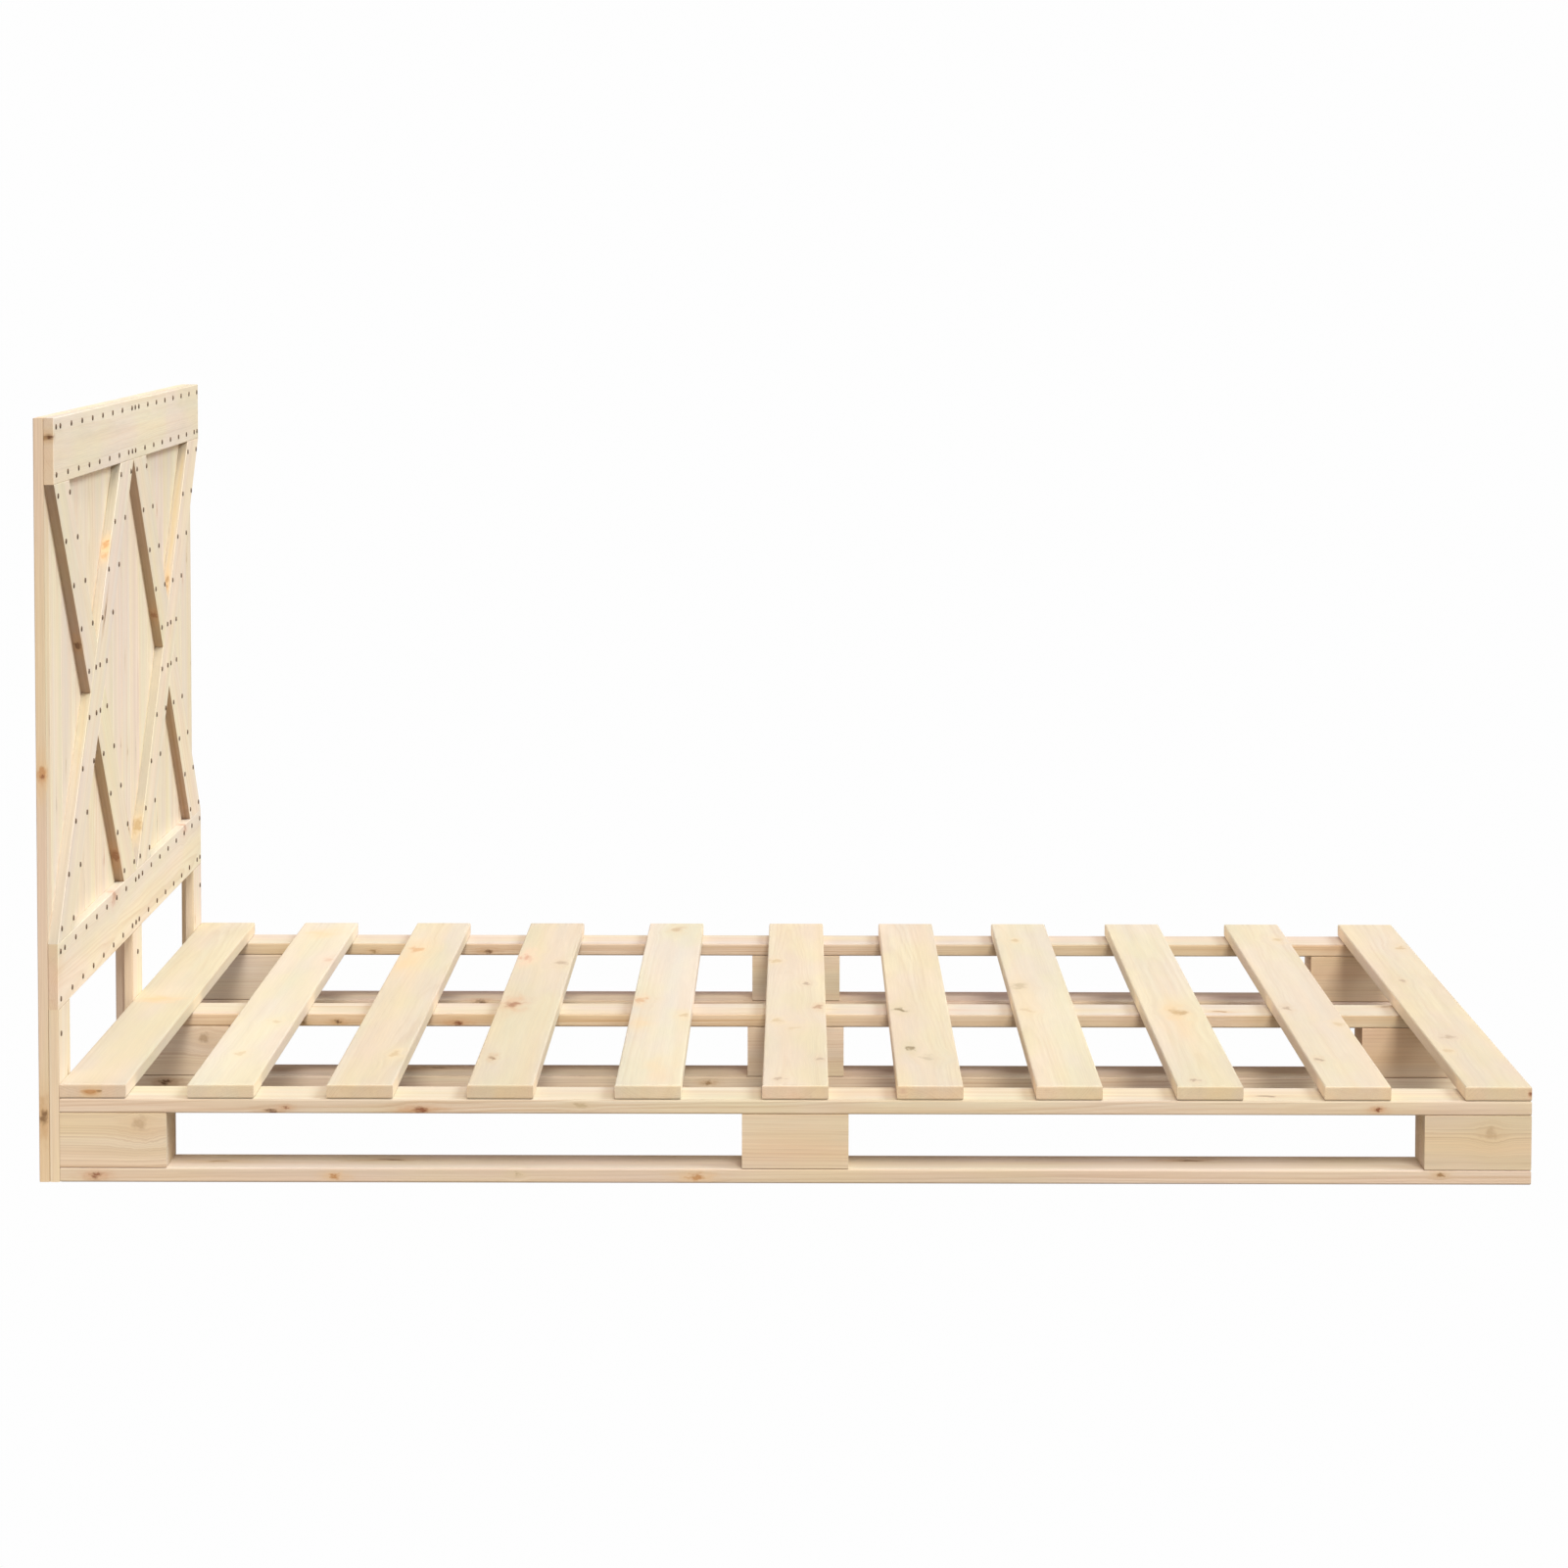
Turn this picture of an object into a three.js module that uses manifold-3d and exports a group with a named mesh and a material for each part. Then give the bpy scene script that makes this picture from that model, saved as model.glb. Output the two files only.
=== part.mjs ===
// A pallet bed in solid pine: a slatted base on three block runners, and a boarded
// headboard that two crosses brace.
// Lengths are millimetres. +X runs from the headboard to the foot of the bed, +Y to the
// sleeper's left and +Z up. The origin lies on the floor, in the middle of the whole bed.

import * as THREE from 'three';
import { mergeVertices } from 'three/addons/utils/BufferGeometryUtils.js';
import Module from 'manifold-3d';

const wasm = await Module();
wasm.setup();

// Overall sizes
const BASE_LENGTH = 2000;
const BED_WIDTH = 1400;
const HEADBOARD_HEIGHT = 1040;

// Base: slats, and runners of a top board, blocks and a bottom board
const SLAT_WIDTH = 90;
const SLAT_THICKNESS = 20;
const RUNNER_WIDTH = 90;
const RUNNER_BOARD_THICKNESS = 20;
const BLOCK_LENGTH = 145;
const BLOCK_HEIGHT = 75;
const BASE_EDGE_RADIUS = 2.5;
const BLOCK_EDGE_RADIUS = 1;

// Headboard: a back layer of posts and planks, a front layer of rails, braces and leg boards
const BACK_LAYER_THICKNESS = 14;
const FRONT_LAYER_THICKNESS = 14;
const SIDE_POST_WIDTH = 35;
const RAIL_WIDTH = 90;
const BRACE_WIDTH = 90;
const LOWER_RAIL_LIFT = 236;
const FRONT_EDGE_RADIUS = 1.2;
const BRACE_JOINT_GAP = 0.4;

// Tongue and groove of the planks
const PLANK_GAP = 0.5;
const PLANK_EDGE_CHAMFER = 0.8;
const TONGUE_THICKNESS = 4.6;
const TONGUE_LENGTH = 5;
const TONGUE_CLEARANCE = 0.3;

// Coach screws that hold the headboard's legs to the base
const SCREW_DIAMETER = 8;
const SCREW_LENGTH = 72;
const SCREW_POINT_LENGTH = 6;
const SCREW_HEAD_ACROSS_FLATS = 13;
const SCREW_HEAD_HEIGHT = 5;
const SCREW_FLANGE_DIAMETER = 19;
const SCREW_FLANGE_THICKNESS = 1.5;
const SCREW_SEAT_DEPTH = 7.5;
const SCREW_CLEARANCE = 0.3;
const CUT_OVERRUN = 5;

// Counts and facets
const PLANKS_PER_BAY = 7;
const EDGE_STEPS = 3;
const SCREW_FACETS = 20;
const HEX_FACETS = 6;

// Places along the free travel of the piece that is set out, from 0 to 1.
// The slats lie a little unevenly, as they were nailed by hand.
const slatShares = [0, 0.091, 0.19, 0.29, 0.395, 0.5, 0.596, 0.695, 0.795, 0.9, 1];
const blockNames = ['head', 'middle', 'foot'];
const blockShares = [0, 0.5, 1];
const sideNames = ['right', 'centre', 'left'];
const sideShares = [0, 0.5, 1];

// Heights of the two screws in each leg, as shares of a block's height
const screwNames = ['lower', 'upper'];
const screwHeightShares = [0.28, 0.72];

// Sizes worked out from the ones above
const headboardThickness = BACK_LAYER_THICKNESS + FRONT_LAYER_THICKNESS;
const bedLength = BASE_LENGTH + headboardThickness;
const blockBottom = RUNNER_BOARD_THICKNESS;
const topBoardBottom = blockBottom + BLOCK_HEIGHT;
const slatBottom = topBoardBottom + RUNNER_BOARD_THICKNESS;
const crossWidth = BED_WIDTH / 2;
const crossBottom = LOWER_RAIL_LIFT + RAIL_WIDTH;
const crossHeight = HEADBOARD_HEIGHT - RAIL_WIDTH - crossBottom;
const bayWidth = crossWidth - 2 * SIDE_POST_WIDTH;
const plankPitch = bayWidth / PLANKS_PER_BAY;
// The leg boards cover the runners' ends.
const legBoardWidth = RUNNER_WIDTH;

// Finishes
const slatPine = pine('#f4e3c8');
const runnerPine = pine('#e2cba8');
const blockPine = pine('#dcc29c');
const backPine = pine('#eddcc0');
const frontPine = pine('#f1e2c9');
const zincedSteel = new THREE.MeshStandardMaterial({ color: '#b4b6b4', roughness: 0.4, metalness: 0.9 });

function pine(color) {
  return new THREE.MeshStandardMaterial({ color, roughness: 0.65, metalness: 0 });
}

// Local X, Y, Z of a board drawn flat become across the bed, up, and towards the foot.
const standUpright = new THREE.Matrix4().makeBasis(
  new THREE.Vector3(0, 1, 0),
  new THREE.Vector3(0, 0, 1),
  new THREE.Vector3(1, 0, 0),
);
// A turned piece stands on local Y, and this lays it along the bed.
const layAlongBed = new THREE.Matrix4().makeBasis(
  new THREE.Vector3(0, -1, 0),
  new THREE.Vector3(1, 0, 0),
  new THREE.Vector3(0, 0, 1),
);

// Place of a piece of the given size that is set out over a span centred on zero
function setOut(share, span, size) {
  return (share - 0.5) * (span - size);
}

function addPiece(group, name, geometry, material, x, y, z) {
  const mesh = new THREE.Mesh(geometry, material);
  mesh.name = name;
  mesh.position.set(x, y, z);
  group.add(mesh);
}

// Booleans

function toSolid(geometry) {
  const bare = geometry.clone();
  bare.deleteAttribute('normal');
  bare.deleteAttribute('uv');
  const merged = mergeVertices(bare);
  return new wasm.Manifold(new wasm.Mesh({
    numProp: 3,
    vertProperties: new Float32Array(merged.attributes.position.array),
    triVerts: new Uint32Array(merged.index.array),
  }));
}

function toGeometry(solid) {
  const mesh = solid.getMesh();
  const geometry = new THREE.BufferGeometry();
  geometry.setAttribute('position', new THREE.BufferAttribute(mesh.vertProperties, 3));
  geometry.setIndex(new THREE.BufferAttribute(mesh.triVerts, 1));
  geometry.computeVertexNormals();
  return geometry;
}

// A round cutter along +X from x to x + length, for holes in the headboard and the blocks
function drill(radius, x, length, y, z) {
  const cutter = new THREE.CylinderGeometry(radius, radius, length, SCREW_FACETS);
  cutter.applyMatrix4(layAlongBed);
  cutter.translate(x + length / 2, y, z);
  return toSolid(cutter);
}

function cut(geometry, cutters) {
  return toGeometry(cutters.reduce((solid, cutter) => solid.subtract(cutter), toSolid(geometry)));
}

// Boards

function outline(points) {
  return new THREE.Shape(points.map(([x, y]) => new THREE.Vector2(x, y)));
}

function rectangle(width, height) {
  return outline([
    [-width / 2, -height / 2],
    [width / 2, -height / 2],
    [width / 2, height / 2],
    [-width / 2, height / 2],
  ]);
}

// A board of the given outline, from 0 to its thickness, with its arrises rounded over
function board(shape, thickness, edgeRadius) {
  const geometry = new THREE.ExtrudeGeometry(shape, {
    depth: thickness - 2 * edgeRadius,
    bevelThickness: edgeRadius,
    bevelSize: edgeRadius,
    bevelOffset: -edgeRadius,
    bevelSegments: EDGE_STEPS,
  });
  geometry.translate(0, 0, edgeRadius);
  return geometry;
}

function frontBoard(shape) {
  return board(shape, FRONT_LAYER_THICKNESS, FRONT_EDGE_RADIUS).applyMatrix4(standUpright);
}

// Base, in a frame centred along and across it, with its floor at zero

function makeSlats(base) {
  slatShares.forEach((share, index) => {
    const name = `slat_${String(index + 1).padStart(2, '0')}`;
    const slat = board(rectangle(SLAT_WIDTH, BED_WIDTH), SLAT_THICKNESS, BASE_EDGE_RADIUS);
    addPiece(base, name, slat, slatPine, setOut(share, BASE_LENGTH, SLAT_WIDTH), 0, slatBottom);
  });
}

function runnerBoard() {
  return board(rectangle(BASE_LENGTH, RUNNER_WIDTH), RUNNER_BOARD_THICKNESS, BASE_EDGE_RADIUS);
}

// A block from its underside up. A head block is drilled for the headboard's two screws.
function runnerBlock(place, screwOffset) {
  const block = board(rectangle(BLOCK_LENGTH, RUNNER_WIDTH), BLOCK_HEIGHT, BLOCK_EDGE_RADIUS);
  if (place !== 'head') {
    return block;
  }
  const depth = SCREW_SEAT_DEPTH + SCREW_LENGTH - headboardThickness + SCREW_CLEARANCE;
  const mouth = -BLOCK_LENGTH / 2 - CUT_OVERRUN;
  return cut(block, screwHeightShares.map((share) => (
    drill(screwHoleRadius(), mouth, depth + CUT_OVERRUN, screwOffset, share * BLOCK_HEIGHT)
  )));
}

function makeRunners(base) {
  sideNames.forEach((side, index) => {
    const y = setOut(sideShares[index], BED_WIDTH, RUNNER_WIDTH);
    const screwOffset = postPlace(sideShares[index]) - y;
    addPiece(base, `runner_bottom_board_${side}`, runnerBoard(), runnerPine, 0, y, 0);
    addPiece(base, `runner_top_board_${side}`, runnerBoard(), runnerPine, 0, y, topBoardBottom);
    blockNames.forEach((place, step) => {
      const block = runnerBlock(place, screwOffset);
      const x = setOut(blockShares[step], BASE_LENGTH, BLOCK_LENGTH);
      addPiece(base, `block_${side}_${place}`, block, blockPine, x, y, blockBottom);
    });
  });
}

// Headboard, in a frame with its back at zero along the bed, centred across it, on the floor

function screwHoleRadius() {
  return SCREW_DIAMETER / 2 + SCREW_CLEARANCE;
}

function screwHeight(share) {
  return blockBottom + share * BLOCK_HEIGHT;
}

function postPlace(share) {
  return setOut(share, BED_WIDTH, SIDE_POST_WIDTH);
}

// The centre post is as wide as two side posts, because it borders both bays.
function makePost(headboard, side, share) {
  const width = side === 'centre' ? 2 * SIDE_POST_WIDTH : SIDE_POST_WIDTH;
  const plain = board(rectangle(width, HEADBOARD_HEIGHT), BACK_LAYER_THICKNESS, FRONT_EDGE_RADIUS)
    .applyMatrix4(standUpright);
  const pocketRadius = SCREW_FLANGE_DIAMETER / 2 + SCREW_CLEARANCE;
  const pocketLength = SCREW_SEAT_DEPTH + SCREW_CLEARANCE + CUT_OVERRUN;
  const holeLength = BACK_LAYER_THICKNESS + 2 * CUT_OVERRUN;
  const cutters = screwHeightShares.flatMap((heightShare) => {
    const z = screwHeight(heightShare) - HEADBOARD_HEIGHT / 2;
    return [
      drill(screwHoleRadius(), -CUT_OVERRUN, holeLength, 0, z),
      drill(pocketRadius, -CUT_OVERRUN, pocketLength, 0, z),
    ];
  });
  const name = `headboard_post_${side}`;
  addPiece(headboard, name, cut(plain, cutters), backPine, 0, postPlace(share), HEADBOARD_HEIGHT / 2);
}

function makeLegBoard(headboard, side, share) {
  const plain = frontBoard(rectangle(legBoardWidth, LOWER_RAIL_LIFT));
  const y = setOut(share, BED_WIDTH, legBoardWidth);
  const holeLength = FRONT_LAYER_THICKNESS + 2 * CUT_OVERRUN;
  const cutters = screwHeightShares.map((heightShare) => {
    const z = screwHeight(heightShare) - LOWER_RAIL_LIFT / 2;
    return drill(screwHoleRadius(), -CUT_OVERRUN, holeLength, postPlace(share) - y, z);
  });
  const name = `headboard_leg_board_${side}`;
  const geometry = cut(plain, cutters);
  addPiece(headboard, name, geometry, frontPine, BACK_LAYER_THICKNESS, y, LOWER_RAIL_LIFT / 2);
}

function makeRails(headboard) {
  const railPlaces = { lower: crossBottom - RAIL_WIDTH, upper: crossBottom + crossHeight };
  for (const [level, bottom] of Object.entries(railPlaces)) {
    const rail = frontBoard(rectangle(BED_WIDTH, RAIL_WIDTH));
    const z = bottom + RAIL_WIDTH / 2;
    addPiece(headboard, `headboard_rail_${level}`, rail, frontPine, BACK_LAYER_THICKNESS, 0, z);
  }
}

// Section of a plank across the bed, with its back at x = 0 and its right edge at y = 0.
// The planks at the ends of a bay have the edge towards the post planed flat.
function plankSection(width, hasGroove, hasTongue) {
  const front = BACK_LAYER_THICKNESS;
  const chamfer = PLANK_EDGE_CHAMFER;
  const grooveBack = (BACK_LAYER_THICKNESS - TONGUE_THICKNESS) / 2 - TONGUE_CLEARANCE;
  const grooveFront = front - grooveBack;
  const grooveDepth = TONGUE_LENGTH - PLANK_GAP + TONGUE_CLEARANCE;
  const tongueBack = (BACK_LAYER_THICKNESS - TONGUE_THICKNESS) / 2;
  const tongueFront = front - tongueBack;
  const groove = [[grooveBack, 0], [grooveBack, grooveDepth], [grooveFront, grooveDepth], [grooveFront, 0]];
  const tip = width + TONGUE_LENGTH;
  const tongue = [[tongueFront, width], [tongueFront, tip], [tongueBack, tip], [tongueBack, width]];
  return outline([
    [chamfer, 0],
    ...(hasGroove ? groove : []),
    [front - chamfer, 0],
    [front, chamfer],
    [front, width - chamfer],
    [front - chamfer, width],
    ...(hasTongue ? tongue : []),
    [chamfer, width],
    [0, width - chamfer],
    [0, chamfer],
  ]);
}

function makePlanks(headboard) {
  const height = HEADBOARD_HEIGHT - LOWER_RAIL_LIFT;
  const width = plankPitch - PLANK_GAP;
  const bays = [-crossWidth + SIDE_POST_WIDTH, SIDE_POST_WIDTH];
  bays.forEach((bayStart, bay) => {
    for (let i = 0; i < PLANKS_PER_BAY; i += 1) {
      const section = plankSection(width, i > 0, i < PLANKS_PER_BAY - 1);
      const plank = new THREE.ExtrudeGeometry(section, { depth: height, bevelEnabled: false });
      const name = `headboard_plank_${String(bay * PLANKS_PER_BAY + i + 1).padStart(2, '0')}`;
      const y = bayStart + i * plankPitch + PLANK_GAP / 2;
      addPiece(headboard, name, plank, backPine, 0, y, LOWER_RAIL_LIFT);
    }
  });
}

// Level length of a brace's end cut, so that the brace's outer edges meet the corners of
// the field. It solves cut * height = BRACE_WIDTH * hypot(width - cut, height).
function braceEndCut() {
  const spread = Math.sqrt(crossWidth ** 2 + crossHeight ** 2 - BRACE_WIDTH ** 2);
  const scale = BRACE_WIDTH / (crossHeight ** 2 - BRACE_WIDTH ** 2);
  return scale * (crossHeight * spread - BRACE_WIDTH * crossWidth);
}

// Outlines of one cross, from the lower right corner of its field: a whole brace that
// rises to the left, and two halves of the other brace, mitred against its edges.
function crossOutlines() {
  const end = braceEndCut();
  const run = crossWidth - end;
  const sideGap = (BRACE_JOINT_GAP * Math.hypot(run, crossHeight)) / crossHeight;
  const outerMitre = 0.5 + sideGap / (2 * run);
  const innerMitre = (crossWidth + sideGap) / (2 * run);
  const whole = [[0, 0], [end, 0], [crossWidth, crossHeight], [run, crossHeight]];
  const upper = [
    [0, crossHeight],
    [run - run * outerMitre, outerMitre * crossHeight],
    [crossWidth - run * innerMitre, innerMitre * crossHeight],
    [end, crossHeight],
  ];
  const lower = upper.map(([across, up]) => [crossWidth - across, crossHeight - up]);
  return { whole, upper, lower };
}

function makeCrosses(headboard) {
  const starts = { right: -crossWidth, left: 0 };
  for (const [side, start] of Object.entries(starts)) {
    for (const [part, points] of Object.entries(crossOutlines())) {
      const brace = frontBoard(outline(points));
      addPiece(headboard, `brace_${side}_${part}`, brace, frontPine, BACK_LAYER_THICKNESS, start, crossBottom);
    }
  }
}

// A flanged hexagon coach screw along +X, with the flange's seat at x = 0
function coachScrew() {
  const radius = SCREW_DIAMETER / 2;
  const flangeRadius = SCREW_FLANGE_DIAMETER / 2;
  const pointStart = SCREW_LENGTH - SCREW_POINT_LENGTH;
  const turned = new THREE.LatheGeometry([
    new THREE.Vector2(0, -SCREW_FLANGE_THICKNESS),
    new THREE.Vector2(flangeRadius, -SCREW_FLANGE_THICKNESS),
    new THREE.Vector2(flangeRadius, 0),
    new THREE.Vector2(radius, 0),
    new THREE.Vector2(radius, pointStart),
    new THREE.Vector2(0, SCREW_LENGTH),
  ], SCREW_FACETS);
  const hexRadius = SCREW_HEAD_ACROSS_FLATS / Math.sqrt(3);
  const hexLength = SCREW_HEAD_HEIGHT + SCREW_FLANGE_THICKNESS / 2;
  const hexagon = new THREE.CylinderGeometry(hexRadius, hexRadius, hexLength, HEX_FACETS);
  hexagon.translate(0, -SCREW_FLANGE_THICKNESS / 2 - hexLength / 2, 0);
  return toGeometry(toSolid(turned).add(toSolid(hexagon))).applyMatrix4(layAlongBed);
}

function makeScrews(headboard, side, share) {
  screwNames.forEach((level, index) => {
    const z = screwHeight(screwHeightShares[index]);
    const name = `coach_screw_${side}_${level}`;
    addPiece(headboard, name, coachScrew(), zincedSteel, SCREW_SEAT_DEPTH, postPlace(share), z);
  });
}

const base = new THREE.Group();
base.position.x = headboardThickness / 2;
makeSlats(base);
makeRunners(base);

const headboard = new THREE.Group();
headboard.position.x = -bedLength / 2;
sideNames.forEach((side, index) => {
  makePost(headboard, side, sideShares[index]);
  makeLegBoard(headboard, side, sideShares[index]);
  makeScrews(headboard, side, sideShares[index]);
});
makePlanks(headboard);
makeRails(headboard);
makeCrosses(headboard);

const bed = new THREE.Group();
bed.add(base, headboard);

export default bed;
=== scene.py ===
"""A pallet bed in solid pine, dressed for the photograph. Lengths are metres, and +Z is up."""

import math
import random

import bpy
from mathutils import Matrix, Vector


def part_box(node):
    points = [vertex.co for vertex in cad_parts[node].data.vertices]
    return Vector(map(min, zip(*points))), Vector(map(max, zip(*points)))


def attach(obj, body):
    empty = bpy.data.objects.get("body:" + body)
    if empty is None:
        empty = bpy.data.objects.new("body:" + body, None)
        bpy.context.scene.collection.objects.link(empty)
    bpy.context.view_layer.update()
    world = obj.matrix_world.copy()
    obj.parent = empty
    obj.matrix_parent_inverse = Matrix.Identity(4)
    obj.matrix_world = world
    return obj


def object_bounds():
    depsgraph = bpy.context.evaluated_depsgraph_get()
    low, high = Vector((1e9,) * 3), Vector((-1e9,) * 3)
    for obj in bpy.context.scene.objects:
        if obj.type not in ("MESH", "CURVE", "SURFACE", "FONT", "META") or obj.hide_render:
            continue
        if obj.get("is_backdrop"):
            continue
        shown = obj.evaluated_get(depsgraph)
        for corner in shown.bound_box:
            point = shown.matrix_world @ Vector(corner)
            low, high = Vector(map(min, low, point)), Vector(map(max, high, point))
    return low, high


MM = 0.001
ALONG_BED = Vector((1, 0, 0))
ACROSS_BED = Vector((0, 1, 0))
UP = Vector((0, 0, 1))
QUARTER_TURN = math.radians(90)
WHITE = (1.0, 1.0, 1.0, 1.0)

# Sockets of the Mix node when it mixes colours
MIX_FACTOR, MIX_FIRST, MIX_SECOND, MIX_RESULT = 0, 6, 7, 2

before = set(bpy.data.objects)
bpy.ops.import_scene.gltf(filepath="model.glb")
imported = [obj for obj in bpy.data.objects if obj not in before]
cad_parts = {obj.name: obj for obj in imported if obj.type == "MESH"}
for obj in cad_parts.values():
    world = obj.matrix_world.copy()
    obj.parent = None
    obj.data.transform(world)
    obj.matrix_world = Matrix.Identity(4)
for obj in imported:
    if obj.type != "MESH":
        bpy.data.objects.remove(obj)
cad_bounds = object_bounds()


# Node trees, materials and objects


class Bench:
    """Puts nodes into one tree and joins them. A value is a socket of another node or a plain value."""

    def __init__(self, tree):
        self.tree = tree

    def put(self, kind, values=None, **settings):
        node = self.tree.nodes.new(kind)
        for name, value in settings.items():
            setattr(node, name, value)
        for name, value in (values or {}).items():
            self.feed(node.inputs[name], value)
        return node

    def feed(self, socket, value):
        if isinstance(value, bpy.types.NodeSocket):
            self.tree.links.new(value, socket)
        else:
            socket.default_value = value

    def maths(self, operation, *values, **settings):
        node = self.put("ShaderNodeMath", dict(enumerate(values)), operation=operation, **settings)
        return node.outputs[0]

    def plus(self, first, second, **settings):
        return self.maths("ADD", first, second, **settings)

    def minus(self, first, second):
        return self.maths("SUBTRACT", first, second)

    def times(self, first, second, **settings):
        return self.maths("MULTIPLY", first, second, **settings)

    def vector(self, operation, *values, answer="Vector"):
        node = self.put("ShaderNodeVectorMath", dict(enumerate(values)), operation=operation)
        return node.outputs[answer]

    def scaled(self, vector, factor):
        values = {0: vector, "Scale": factor}
        return self.put("ShaderNodeVectorMath", values, operation="SCALE").outputs["Vector"]

    def rise(self, value, low, high, start=0.0, end=1.0):
        """A smooth step from start to end, as value goes from low to high."""
        values = {"Value": value, "From Min": low, "From Max": high, "To Min": start, "To Max": end}
        return self.put("ShaderNodeMapRange", values, interpolation_type="SMOOTHSTEP").outputs["Result"]

    def noise(self, vector, scale=1.0, detail=2.0):
        values = {"Vector": vector, "Scale": scale, "Detail": detail}
        return self.put("ShaderNodeTexNoise", values).outputs[0]

    def noise_along(self, value):
        values = {"W": value, "Scale": 1.0, "Detail": 1.0}
        return self.put("ShaderNodeTexNoise", values, noise_dimensions="1D").outputs[0]

    def blend(self, factor, first, second, way="MIX"):
        node = self.put("ShaderNodeMix", data_type="RGBA", blend_type=way)
        for index, value in ((MIX_FACTOR, factor), (MIX_FIRST, first), (MIX_SECOND, second)):
            self.feed(node.inputs[index], value)
        return node.outputs[MIX_RESULT]

    def surface(self, shader, colour, group, bump_strength, bump_distance):
        """Gives the shader its colour, and the roughness and height that the group works out."""
        bump = {"Height": group.outputs["Height"], "Strength": bump_strength, "Distance": bump_distance}
        self.feed(shader.inputs["Base Color"], colour)
        self.feed(shader.inputs["Roughness"], group.outputs["Roughness"])
        self.feed(shader.inputs["Normal"], self.put("ShaderNodeBump", bump).outputs["Normal"])


def new_group(name, kind, inputs, outputs):
    """A node group with named sockets, each a type, a name and a default value."""
    tree = bpy.data.node_groups.new(name, kind)
    for socket_type, label, default in inputs:
        socket = tree.interface.new_socket(label, in_out="INPUT", socket_type=socket_type)
        if default is not None:
            socket.default_value = default
    for socket_type, label in outputs:
        tree.interface.new_socket(label, in_out="OUTPUT", socket_type=socket_type)
    bench = Bench(tree)
    return bench, bench.put("NodeGroupInput").outputs, bench.put("NodeGroupOutput").inputs


def new_material(name):
    material = bpy.data.materials.new(name)
    material.use_nodes = True
    return material, Bench(material.node_tree), material.node_tree.nodes["Principled BSDF"]


def new_object(name, data):
    thing = bpy.data.objects.new(name, data)
    bpy.context.scene.collection.objects.link(thing)
    return thing


def with_alpha(colour):
    return (*colour, 1.0)


# Pine

# Noise in the wood, as its scales along the grain and across it, for each metre
FIBRE = (16.0, 800.0)
STREAKS = (1.8, 70.0)
CLOUDS = (1.6, 11.0)
STRIPES = (1.4, 230.0)
WARM_PATCHES = (0.8, 24.0)
BLUSH_PATCHES = (3.2, 13.0)

# How far apart two boards lie in the noise, for each unit between their seeds
LOG_STEP = (3.1, 1.7, 2.3)

# How the growth rings stray: the scales of the noise that moves them, and how far in metres
RING_DRIFTS = (((1.1, 4.0), 0.012), ((3.6, 15.0), 0.005), ((7.0, 60.0), 0.0016))

# Good and bad years: how fast the noise runs from ring to ring, how many rings it shifts, and
# where it starts for the vigour
WEATHER_PACE = 0.37
WEATHER_REACH = 1.8
VIGOUR_PACE = 0.21
VIGOUR_START = 9.0

# Smooth steps, as the two ends of what comes in and the two ends of the answer
LATE_GROWTH = (0.3, 0.92, 0.0, 1.0)
LATE_STOP = (0.92, 1.0, 1.0, 0.0)
VIGOUR = (0.3, 0.7, 0.25, 1.0)
STREAK_FIGURE = (0.42, 0.75, 0.0, 0.4)
STRIPE_FIGURE = (0.4, 0.75, 0.0, 0.35)
CLOUD_FIGURE = (0.3, 0.65, 0.55, 1.2)
FIBRE_SHADE = (0.25, 0.75, 0.955, 1.03)
CLOUD_SHADE = (0.3, 0.7, -0.045, 0.035)
WARMTH = (0.3, 0.7, -0.025, 0.025)
BLUSH = (0.32, 0.68, -0.04, 0.04)
FIBRE_ROUGHNESS = (0.3, 0.7, 0.54, 0.64)

# How much late wood, sawn ends, fibres and blush count for
LATE_FIGURE = 0.7
END_FIGURE = 0.25
BLUSH_GREEN = 0.4
END_ROUGHNESS = 0.15
LATE_POLISH = 0.08
FIBRE_HEIGHT = 0.6
LATE_HEIGHT = 0.4


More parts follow.
